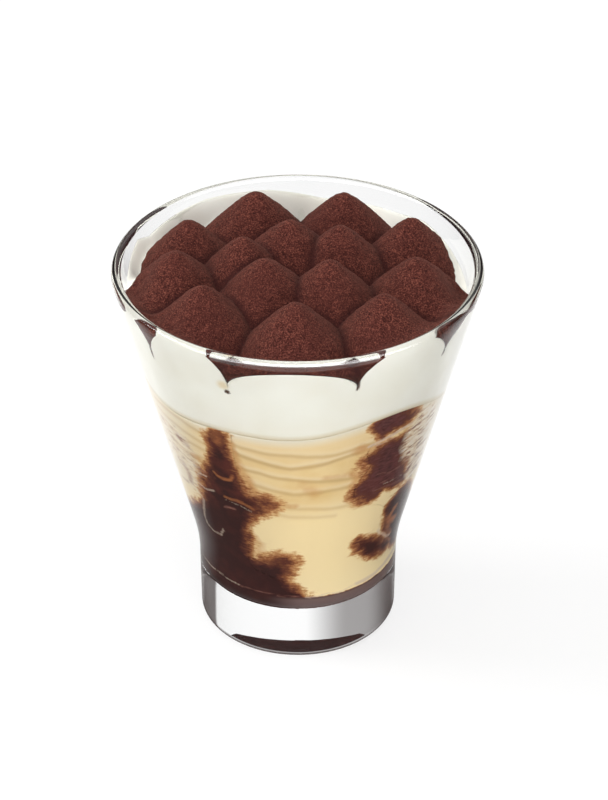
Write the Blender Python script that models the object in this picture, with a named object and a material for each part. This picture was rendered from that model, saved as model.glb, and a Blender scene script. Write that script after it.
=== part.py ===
"""Tiramisu served in a tapered dessert glass, at real size, in metres, with +Z up.

The glass is a thick-based tumbler. Inside it, from the floor up, are custard with pieces of
coffee-soaked sponge in it, a white cream layer piped into a ring of outer mounds round a ring
of inner ones, and a skin of cocoa powder over the mounds. The origin is the centre of the
glass's underside, and the side that faces -Y shows the sponge best.
"""

import math

import bmesh
import bpy
from mathutils import Vector

MM = 0.001

# Clearance between pieces that touch in the real dessert
GAP = 0.3 * MM

# Points round every ring of the glass and its contents
SEGMENTS = 64

# Glass
RIM_RADIUS = 39.0 * MM
GLASS_HEIGHT = 87.3 * MM
WALL = 2.1 * MM
BASE_THICKNESS = 12.0 * MM
FLOOR_FILLET = 4.0 * MM
FOOT_RADIUS = 21.4 * MM
FOOT_FLARE = 0.2 * MM
FOOT_CORNER = 2.0 * MM
FOOT_TOP = 16.0 * MM
CONE_START = 27.0 * MM
CONE_START_RADIUS = 23.3 * MM
FOOT_CORNER_STEPS = 3
BLEND_STEPS = 4
LIP_STEPS = 5

# Line between the custard and the white cream, as it waves round the wall
INTERFACE_HEIGHT = 64.5 * MM
INTERFACE_WAVES = ((1, 0.8 * MM, -124.0), (3, 2.0 * MM, 56.0), (5, 1.15 * MM, 25.0))

# Outer ring of mounds: each has a turn in degrees and a shift outward from the even ring
OUTER_RING_RADIUS = 25.0 * MM
OUTER_FIRST_ANGLE = -91.0
OUTER_PEAK = 92.0 * MM
OUTER_TURNS = (0.0, 3.0, -1.0, -4.0, -3.0, 3.0, 7.0, -3.0, -9.0)
OUTER_SHIFTS_MM = (-1.9, 1.5, 0.2, 1.4, -1.1, -1.0, 0.1, 0.4, 0.4)

# Inner ring of mounds
INNER_RING_RADIUS = 10.3 * MM
INNER_FIRST_ANGLE = -119.0
INNER_PEAK = 92.8 * MM
INNER_TURNS = (-14.5, -2.6, 11.6, 4.0, 1.6)
INNER_SHIFTS_MM = (-0.7, -0.1, 0.9, -1.4, 1.3)

# Side view of one mound: a soft tip, straight flanks and a slight belly lower down. The slope
# differs from mound to mound by up to the unevenness, in steps that don't repeat round a ring.
MOUND_TIP = 1.9 * MM
MOUND_SLOPE = 0.93
MOUND_BELLY = 14.0
MOUND_UNEVENNESS = 0.07
UNEVENNESS_STEP = 2.4

# Where the outer mounds press on the glass, the cream makes a row of flat-topped lobes
LOBE_TOP = 84.2 * MM
CUSP_BOTTOM = 78.8 * MM
LOBE_SQUARENESS = 2.6
CUSP_NUDGES = (-0.7, -4.7, 0.0, 0.0, 0.0, 0.0, 0.0, 10.0, 2.3)
WALL_BLEND_START = 29.0 * MM
CREAM_CREASE = 0.35 * MM

# Cocoa powder. It lies deeper where two lobes meet at the glass, most of all on the shown side,
# which passes into the far side over twice the side fade, as a share of the radius.
COCOA_THICKNESS = 1.0 * MM
COCOA_CREASE = 0.9 * MM
COCOA_CUSP_FILL = 1.3 * MM
COCOA_FRONT_FILL = 3.6 * MM
SIDE_FADE = 0.25

# Rings of points across the mounds and down the wall
TOP_RINGS = 15
CREAM_WALL_RINGS = 3
CUSTARD_WALL_RINGS = 6
CROSS_RINGS = 3
FLOOR_FILLET_STEPS = 4

# Edges that are bent by more degrees than this are drawn sharp
SHARP_ANGLE = 50.0

# Sponge pieces: outlines in millimetres, as (x, z), seen from the -Y side
SPONGE_LEFT_OUTLINE = (
    (-17.4, 70.0), (-17.2, 57.0), (-18.0, 48.5), (-19.2, 41.5), (-25.0, 37.5), (-29.0, 30.0),
    (-29.0, 8.5), (0.0, 6.5), (26.0, 8.5), (26.0, 15.8), (4.5, 15.9), (1.2, 17.6),
    (-3.4, 21.8), (-9.2, 24.6), (-9.6, 31.0), (-9.0, 39.0), (-7.4, 43.6), (-11.2, 46.8),
    (-11.6, 52.0), (-12.5, 58.0), (-13.6, 70.0),
)
SPONGE_RIGHT_OUTLINE = (
    (15.2, 60.6), (19.0, 60.2), (22.0, 58.4), (22.6, 54.0), (21.4, 49.5), (22.4, 45.0),
    (23.2, 40.0), (28.0, 36.5), (28.0, 24.5), (21.6, 20.8), (17.8, 21.0), (14.8, 23.8),
    (12.4, 28.6), (13.2, 32.4), (17.0, 33.6), (17.4, 37.0), (16.2, 40.6), (13.6, 42.0),
    (10.9, 45.4), (12.0, 50.0), (14.4, 54.0), (13.4, 57.6),
)
SPONGE_TOP_OUTLINE = (
    (15.8, 71.0), (16.0, 63.2), (19.0, 62.2), (22.0, 62.4), (24.4, 65.0), (24.6, 71.0),
)
OUTLINE_POINTS = 44

# The pieces run through the glass from front to back. Inside they stand lower than at the
# wall, except for the thin layer on the floor, and they drift sideways towards the back.
SLAB_REACH = 33.0 * MM
SLAB_STATIONS = 7
SPONGE_FLOOR = 12.3 * MM
FLOOR_LAYER = 4.0 * MM
DIP_REACH = 24.4 * MM
LEFT_DIP = 0.70
RIGHT_DIP = 0.78
BACKWARD_DRIFT = 2.0 * MM
DRIFT_WAVE = 9.0 * MM

# The piece at the top right ends inside the cream, where it is narrower
SPONGE_TOP_CENTRE = (20.0, 68.0)
SPONGE_TOP_FAR = -12.0 * MM
SPONGE_TOP_TAPER = 0.6

COLORS = {
    "glass": (0.93, 0.95, 0.95, 1.0),
    "custard": (0.80, 0.64, 0.34, 1.0),
    "sponge": (0.05, 0.017, 0.014, 1.0),
    "mascarpone_cream": (0.90, 0.88, 0.81, 1.0),
    "cocoa": (0.115, 0.038, 0.022, 1.0),
}
ROUGHNESS = {
    "glass": 0.03,
    "custard": 0.45,
    "sponge": 0.7,
    "mascarpone_cream": 0.45,
    "cocoa": 0.95,
}


def outer_radius(height):
    """Radius of the outside of the glass, above the rounded corner of its foot."""
    slope = (RIM_RADIUS - CONE_START_RADIUS) / (GLASS_HEIGHT - WALL / 2 - CONE_START)
    if height >= CONE_START:
        return CONE_START_RADIUS + slope * (height - CONE_START)
    foot_slope = FOOT_FLARE / (FOOT_TOP - FOOT_CORNER)
    if height <= FOOT_TOP:
        return FOOT_RADIUS + foot_slope * (height - FOOT_CORNER)
    span = CONE_START - FOOT_TOP
    t = (height - FOOT_TOP) / span
    low = FOOT_RADIUS + FOOT_FLARE
    rise = (2 * t**3 - 3 * t**2 + 1) * low + (3 * t**2 - 2 * t**3) * CONE_START_RADIUS
    return rise + (t**3 - 2 * t**2 + t) * span * foot_slope + (t**3 - t**2) * span * slope


def inner_radius(height):
    return outer_radius(height) - WALL


def contents_radius(height):
    return inner_radius(height) - GAP


def interface_height(angle):
    """Height of the line between custard and cream at the wall, at an angle in radians."""
    waves = sum(size * math.cos(order * (angle - math.radians(phase)))
                for order, size, phase in INTERFACE_WAVES)
    return INTERFACE_HEIGHT + waves


def fillet_profile(radius_at, floor, fillet):
    """Points (radius, height) up the rounded corner between a floor and its wall."""
    top = radius_at(floor + fillet)
    points = []
    for step in range(FLOOR_FILLET_STEPS + 1):
        angle = math.pi / 2 * step / FLOOR_FILLET_STEPS
        points.append((top - fillet + fillet * math.sin(angle),
                       floor + fillet - fillet * math.cos(angle)))
    return points


def ring(radius, height):
    """One ring of points. Radius and height are numbers or functions of the angle."""
    points = []
    for index in range(SEGMENTS):
        angle = 2 * math.pi * index / SEGMENTS
        r = radius(angle) if callable(radius) else radius
        z = height(angle) if callable(height) else height
        points.append(Vector((r * math.cos(angle), r * math.sin(angle), z)))
    return points


def wall_ring(height):
    """Ring on the side of the contents, at a height that is a function of the angle."""
    return ring(lambda angle: contents_radius(height(angle)), height)


def between(low, high, share):
    """Function of the angle that lies a share of the way from low to high."""
    return lambda angle: low(angle) * (1 - share) + high(angle) * share


def new_material(name, transmission=0.0):
    material = bpy.data.materials.new(name)
    material.use_nodes = True
    shader = material.node_tree.nodes["Principled BSDF"]
    shader.inputs["Base Color"].default_value = COLORS[name]
    shader.inputs["Roughness"].default_value = ROUGHNESS[name]
    shader.inputs["Metallic"].default_value = 0.0
    shader.inputs["Transmission Weight"].default_value = transmission
    material.diffuse_color = COLORS[name]
    return material


def new_object(name, bm, material):
    """Turn a closed mesh into an object, with its faces pointing out and shaded smooth."""
    bmesh.ops.recalc_face_normals(bm, faces=bm.faces[:])
    mesh = bpy.data.meshes.new(name)
    bm.to_mesh(mesh)
    bm.free()
    mesh.shade_smooth()
    mesh.set_sharp_from_angle(angle=math.radians(SHARP_ANGLE))
    if material is not None:
        mesh.materials.append(material)
    obj = bpy.data.objects.new(name, mesh)
    bpy.context.scene.collection.objects.link(obj)
    return obj


def skin_rings(rings, first_centre=None, last_centre=None):
    """Join rings of points into one closed skin, with a centre point or a flat cap at each end.

    Each square between two rings is split along its shorter diagonal, so that two skins with
    the same rings, one above the other, stay the same distance apart everywhere.
    """
    bm = bmesh.new()
    rows = [[bm.verts.new(point) for point in points] for points in rings]
    for lower, upper in zip(rows, rows[1:]):
        for index in range(len(lower)):
            after = (index + 1) % len(lower)
            a, b, c, d = lower[index], lower[after], upper[after], upper[index]
            if (a.co - c.co).length <= (b.co - d.co).length:
                bm.faces.new((a, b, c))
                bm.faces.new((a, c, d))
            else:
                bm.faces.new((a, b, d))
                bm.faces.new((b, c, d))
    for row, centre in ((rows[0], first_centre), (rows[-1], last_centre)):
        if centre is None:
            bm.faces.new(row)
            continue
        middle = bm.verts.new(centre)
        for index in range(len(row)):
            bm.faces.new((row[index], row[(index + 1) % len(row)], middle))
    return bm


def build_glass(material):
    """Tumbler with a thick base, a rounded foot corner, a straight cone and a round lip."""
    profile = []
    foot_flat = FOOT_RADIUS - FOOT_CORNER
    for step in range(FOOT_CORNER_STEPS + 1):
        angle = math.pi / 2 * step / FOOT_CORNER_STEPS
        profile.append((foot_flat + FOOT_CORNER * math.sin(angle),
                        FOOT_CORNER * (1 - math.cos(angle))))
    for step in range(BLEND_STEPS + 1):
        height = FOOT_TOP + (CONE_START - FOOT_TOP) * step / BLEND_STEPS
        profile.append((outer_radius(height), height))
    lip = WALL / 2
    lip_height = GLASS_HEIGHT - lip
    lip_centre = RIM_RADIUS - lip
    for step in range(LIP_STEPS + 1):
        angle = math.pi * step / LIP_STEPS
        profile.append((lip_centre + lip * math.cos(angle), lip_height + lip * math.sin(angle)))
    inner_bend = BASE_THICKNESS + FLOOR_FILLET
    for height in (CONE_START, (CONE_START + inner_bend) / 2):
        profile.append((inner_radius(height), height))
    profile.extend(reversed(fillet_profile(inner_radius, BASE_THICKNESS, FLOOR_FILLET)))
    rings = [ring(radius, height) for radius, height in profile]
    bm = skin_rings(rings, last_centre=(0, 0, BASE_THICKNESS))
    return new_object("glass", bm, material)


def ring_of_mounds(ring_radius, first_angle, peak, turns, shifts_mm):
    """Centres of one ring of mounds, each as (x, y, peak, slope)."""
    mounds = []
    for index, (turn, shift) in enumerate(zip(turns, shifts_mm)):
        angle = math.radians(first_angle + 360.0 * index / len(turns) + turn)
        radius = ring_radius + shift * MM
        wave = math.sin(UNEVENNESS_STEP * index + ring_radius / MM)
        slope = MOUND_SLOPE * (1 + MOUND_UNEVENNESS * wave)
        mounds.append((radius * math.cos(angle), radius * math.sin(angle), peak, slope))
    return mounds


def cusp_angles():
    """Angles at which neighbouring outer mounds meet at the glass."""
    count = len(OUTER_TURNS)
    peaks = [OUTER_FIRST_ANGLE + 360.0 * i / count + turn for i, turn in enumerate(OUTER_TURNS)]
    peaks.append(peaks[0] + 360.0)
    return [(peaks[i] + peaks[i + 1]) / 2 + CUSP_NUDGES[i] for i in range(count)]


def lobe_share(angle, cusps):
    """0 where two lobes of cream meet at the glass and 1 at the middle of a lobe."""
    degrees = math.degrees(angle)
    for index, start in enumerate(cusps):
        end = cusps[index + 1] if index + 1 < len(cusps) else cusps[0] + 360.0
        along = (degrees - start) % 360.0
        if along <= end - start:
            across = abs(2 * along / (end - start) - 1)
            return (1 - across**LOBE_SQUARENESS) ** (1 / LOBE_SQUARENESS)
    return 0.0


def mound_field(x, y, mounds, crease):
    """Height of the piped surface, with the creases between mounds rounded by crease."""
    heights = []
    for centre_x, centre_y, peak, slope in mounds:
        away = math.hypot(x - centre_x, y - centre_y)
        flank = slope * (math.hypot(away, MOUND_TIP) - MOUND_TIP)
        heights.append(peak - flank - MOUND_BELLY * away**2)
    top = max(heights)
    return top + crease * math.log(sum(math.exp((h - top) / crease) for h in heights))


def blended_top(x, y, mounds, crease, wall_height):
    """Piped surface that settles to wall_height where it reaches the glass."""
    radius = math.hypot(x, y)
    share = (radius - WALL_BLEND_START) / (contents_radius(wall_height) - WALL_BLEND_START)
    share = min(max(share, 0.0), 1.0)
    share = share * share * (3 - 2 * share)
    return mound_field(x, y, mounds, crease) * (1 - share) + wall_height * share


def cream_edge(angle, cusps):
    return CUSP_BOTTOM + (LOBE_TOP - CUSP_BOTTOM) * lobe_share(angle, cusps)


def front_share(angle):
    """1 on the shown side of the glass, 0 on the far side and between the two at the sides."""
    return min(max((1 - math.sin(angle) / SIDE_FADE) / 2, 0.0), 1.0)


def build_top_rings(mounds, cusps):
    """Rings of the cream's piped top, and of the cocoa's top over them, from the edge inward."""
    cream_rings = []
    cocoa_rings = []
    for step in range(TOP_RINGS):
        reach = 1 - step / TOP_RINGS
        cream_ring = []
        cocoa_ring = []
        for index in range(SEGMENTS):
            angle = 2 * math.pi * index / SEGMENTS
            edge = cream_edge(angle, cusps)
            radius = contents_radius(edge) * reach
            x = radius * math.cos(angle)
            y = radius * math.sin(angle)
            cream = blended_top(x, y, mounds, CREAM_CREASE, edge + COCOA_THICKNESS)
            cream -= COCOA_THICKNESS
            fill = COCOA_CUSP_FILL + COCOA_FRONT_FILL * front_share(angle)
            fill *= 1 - lobe_share(angle, cusps)
            cocoa = blended_top(x, y, mounds, COCOA_CREASE, edge + COCOA_THICKNESS + fill)
            cream_ring.append(Vector((x, y, cream - GAP)))
            cocoa_ring.append(Vector((x, y, cocoa)))
        cream_rings.append(cream_ring)
        cocoa_rings.append(cocoa_ring)
    return cream_rings, cocoa_rings


def centre_height(mounds, crease):
    return mound_field(0.0, 0.0, mounds, crease)


def cross_ring(reach, lift):
    """Ring of the surface between custard and cream, a share of the way out to the wall."""
    def height(angle):
        wave = interface_height(angle) - INTERFACE_HEIGHT
        return INTERFACE_HEIGHT + lift + wave * reach**2

    def radius(angle):
        return contents_radius(height(angle)) * reach
    return ring(radius, height)


def cross_rings(lift):
    """Rings of the surface between custard and cream, from near the axis out to the wall."""
    return [cross_ring(step / CROSS_RINGS, lift) for step in range(1, CROSS_RINGS + 1)]


def build_cream(material, mounds, cusps, top_rings):
    """White layer from the custard up to the piped mounds."""
    def bottom(angle):
        return interface_height(angle) + GAP

    def edge(angle):
        return cream_edge(angle, cusps) - GAP

    rings = cross_rings(GAP)
    for step in range(1, CREAM_WALL_RINGS):
        rings.append(wall_ring(between(bottom, edge, step / CREAM_WALL_RINGS)))
    rings.extend(top_rings)
    top = centre_height(mounds, CREAM_CREASE) - COCOA_THICKNESS - GAP
    bm = skin_rings(rings, (0, 0, INTERFACE_HEIGHT + GAP), (0, 0, top))
    return new_object("mascarpone_cream", bm, material)


def build_cocoa(material, mounds, cream_rings, cocoa_rings):
    """Skin of cocoa powder that follows the mounds and fills the creases between them."""
    lifted = [[point + Vector((0, 0, GAP)) for point in row] for row in cream_rings]
    rings = list(reversed(lifted)) + cocoa_rings
    under = centre_height(mounds, CREAM_CREASE) - COCOA_THICKNESS
    top = centre_height(mounds, COCOA_CREASE)
    bm = skin_rings(rings, (0, 0, under), (0, 0, top))
    return new_object("cocoa_topping", bm, material)


def build_custard_volume(name, material):
    """Everything in the glass below the cream, before the sponge is cut out of it."""
    floor = BASE_THICKNESS + GAP
    fillet = FLOOR_FILLET - GAP
    rings = [ring(radius, height)
             for radius, height in fillet_profile(contents_radius, floor, fillet)]
    def bend(_angle):
        return floor + fillet

    for step in range(1, CUSTARD_WALL_RINGS):
        rings.append(wall_ring(between(bend, interface_height, step / CUSTARD_WALL_RINGS)))
    rings.extend(reversed(cross_rings(0.0)))
    bm = skin_rings(rings, None, (0, 0, INTERFACE_HEIGHT))
    return new_object(name, bm, material)


def smooth_loop(points_mm, count):
    """Evenly stepped closed curve through the points, as (x, z) pairs in metres."""
    points = [Vector(point) * MM for point in points_mm]
    size = len(points)
    curve = []
    for step in range(count):
        place = step * size / count
        index = int(place)
        t = place - index
        before, start, end, after = (points[(index + k) % size] for k in (-1, 0, 1, 2))
        bend = 2 * start + (end - before) * t
        bend += (2 * before - 5 * start + 4 * end - after) * t**2
        bend += (3 * start - before - 3 * end + after) * t**3
        curve.append(bend / 2)
    return curve


def widened(loop, distance):
    """The loop moved outward by distance, along its own normals."""
    size = len(loop)
    area = sum(loop[i].x * loop[(i + 1) % size].y - loop[(i + 1) % size].x * loop[i].y
               for i in range(size))
    side = 1 if area > 0 else -1
    moved = []
    for index, point in enumerate(loop):
        along = (loop[(index + 1) % size] - loop[index - 1]).normalized()
        moved.append(point + Vector((along.y, -along.x)) * side * distance)
    return moved


def build_slab(name, outline_mm, far, shape, margin=0.0):
    """Piece of sponge from the front to far, its outline changed along Y by shape(point, y).

    A margin makes it larger all round, as the pocket that the piece sits in.
    """
    loop = smooth_loop(outline_mm, OUTLINE_POINTS)
    rings = []
    for step in range(SLAB_STATIONS):
        along = step / (SLAB_STATIONS - 1)
        y = -SLAB_REACH + (far + SLAB_REACH) * along
        placed = widened([shape(point, y) for point in loop], margin)
        end_margin = margin * ((along == 1) - (along == 0))
        rings.append([Vector((point.x, y + end_margin, point.y)) for point in placed])
    return new_object(name, skin_rings(rings), None)


def through_shape(dip, drift):
    """Sponge that stands dip times as high in the middle of the glass as at the wall."""
    def shape(point, y):
        height = point.y
        if height > SPONGE_FLOOR + FLOOR_LAYER:
            share = min(1.0, math.hypot(point.x, y) / DIP_REACH)
            height = SPONGE_FLOOR + (height - SPONGE_FLOOR) * (dip + (1 - dip) * share**2)
        backward = max(0.0, y / SLAB_REACH)
        return Vector((point.x + drift * backward * math.sin(point.y / DRIFT_WAVE), height))
    return shape


def tapered_shape(point, y):
    """Sponge that narrows towards its end inside the cream."""
    centre = Vector(SPONGE_TOP_CENTRE) * MM
    share = (y + SLAB_REACH) / (SPONGE_TOP_FAR + SLAB_REACH)
    return centre + (point - centre) * (1 + (SPONGE_TOP_TAPER - 1) * share)


def hide_guide(obj):
    obj.hide_render = True
    obj.display_type = "WIRE"


def add_boolean(obj, operation, other):
    modifier = obj.modifiers.new(operation.lower() + "_" + other.name, "BOOLEAN")
    modifier.operation = operation
    modifier.solver = "EXACT"
    modifier.object = other


def build_custard_and_sponge(custard_material, sponge_material):
    """Custard with a pocket for each piece of sponge, and the pieces trimmed to its outside."""
    volume = build_custard_volume("custard_volume_guide", None)
    hide_guide(volume)
    custard = build_custard_volume("custard", custard_material)
    left_shape = through_shape(LEFT_DIP, BACKWARD_DRIFT)
    right_shape = through_shape(RIGHT_DIP, -BACKWARD_DRIFT)
    pieces = (
        ("sponge_left", SPONGE_LEFT_OUTLINE, SLAB_REACH, left_shape),
        ("sponge_right", SPONGE_RIGHT_OUTLINE, SLAB_REACH, right_shape),
        ("sponge_right_top", SPONGE_TOP_OUTLINE, SPONGE_TOP_FAR, tapered_shape),
    )
    for name, outline, far, shape in pieces:
        piece = build_slab(name, outline, far, shape)
        piece.data.materials.append(sponge_material)
        add_boolean(piece, "INTERSECT", volume)
        pocket = build_slab(name + "_pocket_guide", outline, far, shape, GAP)
        hide_guide(pocket)
        add_boolean(custard, "DIFFERENCE", pocket)


def main():
    for obj in list(bpy.data.objects):
        bpy.data.objects.remove(obj, do_unlink=True)
    mounds = ring_of_mounds(OUTER_RING_RADIUS, OUTER_FIRST_ANGLE, OUTER_PEAK,
                            OUTER_TURNS, OUTER_SHIFTS_MM)
    mounds += ring_of_mounds(INNER_RING_RADIUS, INNER_FIRST_ANGLE, INNER_PEAK,
                             INNER_TURNS, INNER_SHIFTS_MM)
    cusps = cusp_angles()
    cream_rings, cocoa_rings = build_top_rings(mounds, cusps)
    build_glass(new_material("glass", transmission=1.0))
    build_custard_and_sponge(new_material("custard"), new_material("sponge"))
    build_cream(new_material("mascarpone_cream"), mounds, cusps, cream_rings)
    build_cocoa(new_material("cocoa"), mounds, cream_rings, cocoa_rings)


main()
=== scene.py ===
"""Looks of a tiramisu in a dessert glass.

Everything is in metres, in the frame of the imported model, with +Z up and the shown side to -Y.
A turn is an angle round the Z axis in degrees, with 0 at +X and -90 on the shown side.
"""

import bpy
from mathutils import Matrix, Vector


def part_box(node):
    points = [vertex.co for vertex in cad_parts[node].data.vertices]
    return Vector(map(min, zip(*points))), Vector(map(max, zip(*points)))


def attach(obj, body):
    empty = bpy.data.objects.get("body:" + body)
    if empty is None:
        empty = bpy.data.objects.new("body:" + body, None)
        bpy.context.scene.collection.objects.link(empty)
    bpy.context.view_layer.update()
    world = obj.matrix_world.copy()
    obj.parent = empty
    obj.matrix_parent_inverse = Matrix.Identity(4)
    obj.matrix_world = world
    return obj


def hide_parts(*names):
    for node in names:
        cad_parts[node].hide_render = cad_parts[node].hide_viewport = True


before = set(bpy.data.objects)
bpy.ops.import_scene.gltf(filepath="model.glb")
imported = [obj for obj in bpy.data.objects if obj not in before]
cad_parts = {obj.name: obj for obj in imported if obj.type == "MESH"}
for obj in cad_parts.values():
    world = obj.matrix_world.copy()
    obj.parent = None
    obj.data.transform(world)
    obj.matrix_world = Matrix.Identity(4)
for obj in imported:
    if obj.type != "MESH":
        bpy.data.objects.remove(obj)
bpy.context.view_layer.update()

import math

import bpy
import numpy as np
from mathutils import Vector

MM = 0.001

# Glass, as in the frame
RIM_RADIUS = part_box("glass")[1].x
GLASS_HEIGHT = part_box("glass")[1].z
WALL = 2.1 * MM
BASE_THICKNESS = 12 * MM
FLOOR_FILLET = 4 * MM
FLOOR_BEND = BASE_THICKNESS + FLOOR_FILLET
FOOT_RADIUS = 21.4 * MM
FOOT_FLARE = 0.2 * MM
FOOT_CORNER = 2 * MM
FOOT_TOP = 16 * MM
CONE_START = 27 * MM
CONE_START_RADIUS = 23.3 * MM

# Fineness of the meshes: points round, steps in an arc, and squares a side of the cocoa
GLASS_SEGMENTS = 192
CUSTARD_SEGMENTS = 448
CREAM_SEGMENTS = 640
ARC_STEPS = 16
COCOA_CELLS = 276
SPONGE_VOXEL = 0.45 * MM

# How far the contents reach into the glass, so that no air shows between them
REACH = 0.25 * MM
SPONGE_REACH = 0.33 * MM

# Gaps to the wall at which sponge is pressed on it a little and wholly, and gap to the floor
WALL_GAPS = (1.3 * MM, 0.75 * MM)
FLOOR_GAP = 0.7 * MM

# Line between custard and cream: order, size and phase in degrees of each wave
INTERFACE_HEIGHT = 64.5 * MM
INTERFACE_WAVES = ((1, 0.8 * MM, -124), (3, 2 * MM, 56), (5, 1.15 * MM, 25))

# Mounds: each has a turn and a shift outward in mm from an even ring. Flanks fall by the slope
# and by the belly times the square of the distance.
OUTER_RING = dict(radius=25, first=-91, peak=92,
                  turns=(0, 3, -1, -4, -3, 3, 7, -3, -9),
                  shifts=(-1.9, 1.5, 0.2, 1.4, -1.1, -1, 0.1, 0.4, 0.4))
INNER_RING = dict(radius=10.3, first=-119, peak=92.8,
                  turns=(-14.5, -2.6, 11.6, 4, 1.6), shifts=(-0.7, -0.1, 0.9, -1.4, 1.3))
MOUND_TIP = 1.5 * MM
MOUND_SLOPE = 0.93
MOUND_BELLY = 14
MOUND_UNEVENNESS = 0.07
UNEVENNESS_STEP = 2.4
WALL_BLEND_START = 29 * MM

# Lobes of cream on the glass: tops in mm, and how far each cusp is off the middle in degrees
LOBE_TOPS = (86.8, 85.1, 84.2, 84.2, 84.2, 84.2, 88.5, 87.4, 83.9)
LOBE_LIMIT = 86.1 * MM
CUSP_BOTTOM = 78.4 * MM
CUSP_NUDGES = (-0.7, -4.7, 0, 0, 0, 0, 0, 12.4, 2.3)
CREAM_BAND = 1.4 * MM

# Cocoa: its skin, how much shows on the glass, how soft the creases between the mounds are, and how wide
# the painted shade in them is
COCOA_THICKNESS = 1 * MM
COCOA_ON_GLASS = 0.9 * MM
LEAST_ON_GLASS = 0.05 * MM
COCOA_CREASE = 0.16 * MM
CREASE_SHADE_WIDTH = 3 * MM

# Lumps as depth, size and seed: on the cocoa, along its back edge and along the edge of the brown dusting
# on the glass
COCOA_LUMPS = ((0.13 * MM, 0.75 * MM, 11), (0.16 * MM, 2.8 * MM, 21))
EDGE_LUMPS = ((0.35 * MM, 1.3 * MM, 31),)
DUST_AND_REFLECTION_LUMPS = ((0.18 * MM, 1.6 * MM, 41),)
LUMP_SINK = 0.22 * MM
SMOOTH_BAND = 1.5 * MM

# Edge of the cocoa: its rounding at the back, and how its hidden side lies in the cream
ROUNDING_DEPTH = 0.5 * MM
ROUNDING_WIDTH = 0.7 * MM
HIDDEN_GAP = 0.3 * MM
HIDDEN_DROP = 0.35 * MM
COCOA_INSET = 0.4 * MM

# Top of the cocoa where it lies on the front of the glass: turns, heights in mm
COCOA_FRONT_TURNS = (-160, -150, -120, -105, -90, -75, -62, -52, -44, -20)
COCOA_FRONT_TOPS = (85.2, 85.3, 84.7, 84.6, 84.35, 84.6, 84.7, 85.1, 86.8, 86.8)
COCOA_FRONT_SPAN = 72
COCOA_FRONT_FADE = 10

# Collar of cream up the back of the glass: middle and spans in degrees, gap between cocoa and
# glass, and top edge as turns and heights in mm
COLLAR_MIDDLE = 90
COLLAR_SPAN = 96
COLLAR_FADE = 8
COLLAR_WIDTH = 2.2 * MM
COLLAR_OVERLAP = 0.6 * MM
COLLAR_EDGE_SPAN = 118
COLLAR_TURNS = (-24, -18, -10, -4, 10, 18, 41, 52, 82, 100, 123, 134, 151, 158, 168, 174, 182, 190, 198,
                206)
COLLAR_TOPS = (84.9, 83.6, 81.6, 80.7, 80.9, 81.3, 83.6, 82.9, 82.8, 84.6, 85.2, 84.7, 83.7, 85.1, 83.5,
               82.5, 81.6, 82.3, 84, 85)

# Sponge outlines at the wall in millimetres, as (x, z), seen from the -Y side
SPONGE_LEFT_OUTLINE = (
    (-17.4, 70), (-17.2, 57), (-18, 48.5), (-19.2, 41.5), (-25, 37.5), (-29, 30), (-29, 8.5), (0, 6.5),
    (26, 8.5), (26, 15.8), (4.5, 15.9), (1.2, 17.6), (-3.4, 21.8), (-9.2, 24.6), (-9.6, 31), (-9, 39),
    (-7.4, 43.6), (-11.2, 46.8), (-11.6, 52), (-12.5, 58), (-13.6, 70),
)
SPONGE_RIGHT_OUTLINE = (
    (15.2, 60.6), (19, 60.2), (22, 58.4), (22.6, 54), (21.4, 49.5), (22.4, 45), (23.2, 40), (28, 36.5),
    (28, 24.5), (21.6, 20.8), (17.8, 21), (14.8, 23.8), (12.4, 28.6), (13.2, 32.4), (17, 33.6),
    (17.4, 37), (16.2, 40.6), (13.6, 42), (10.9, 45.4), (12, 50), (14.4, 54), (13.4, 57.6),
)

# Thin runs of cocoa below the cusps, as lines of (turn, height in mm)
STEMS = (
    ((-144.6, 81), (-144.9, 79.6), (-144.4, 77.6)),
    ((-70.2, 80.6), (-70, 79.2), (-70.3, 78)),
    ((-34.7, 82), (-34.9, 80.2), (-35.3, 78.5)),
)

# Cocoa dusting on the glass at the sides, also a painted dark reflection for the rim's sides: above rows
# of arcs, with turns of the cusps, tops and cusp height in mm
DUST_AND_REFLECTION_ARCS = (
    ((-37, 5, 27, 49, 91), (92, 78.4, 78.8, 92), 76.4),
    ((97, 139, 157, 177, 219), (92, 77.8, 77.6, 92), 75.8),
)
DUST_AND_REFLECTION_EDGE = 0.15 * MM

# Yellow smear and dark speck on the cream below the left cusp, in mm
SMEAR_PLACE = (-14.7, -31.8, 78.6)
SPECK_PLACE = (-14.04, -32.3, 76.7)

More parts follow.
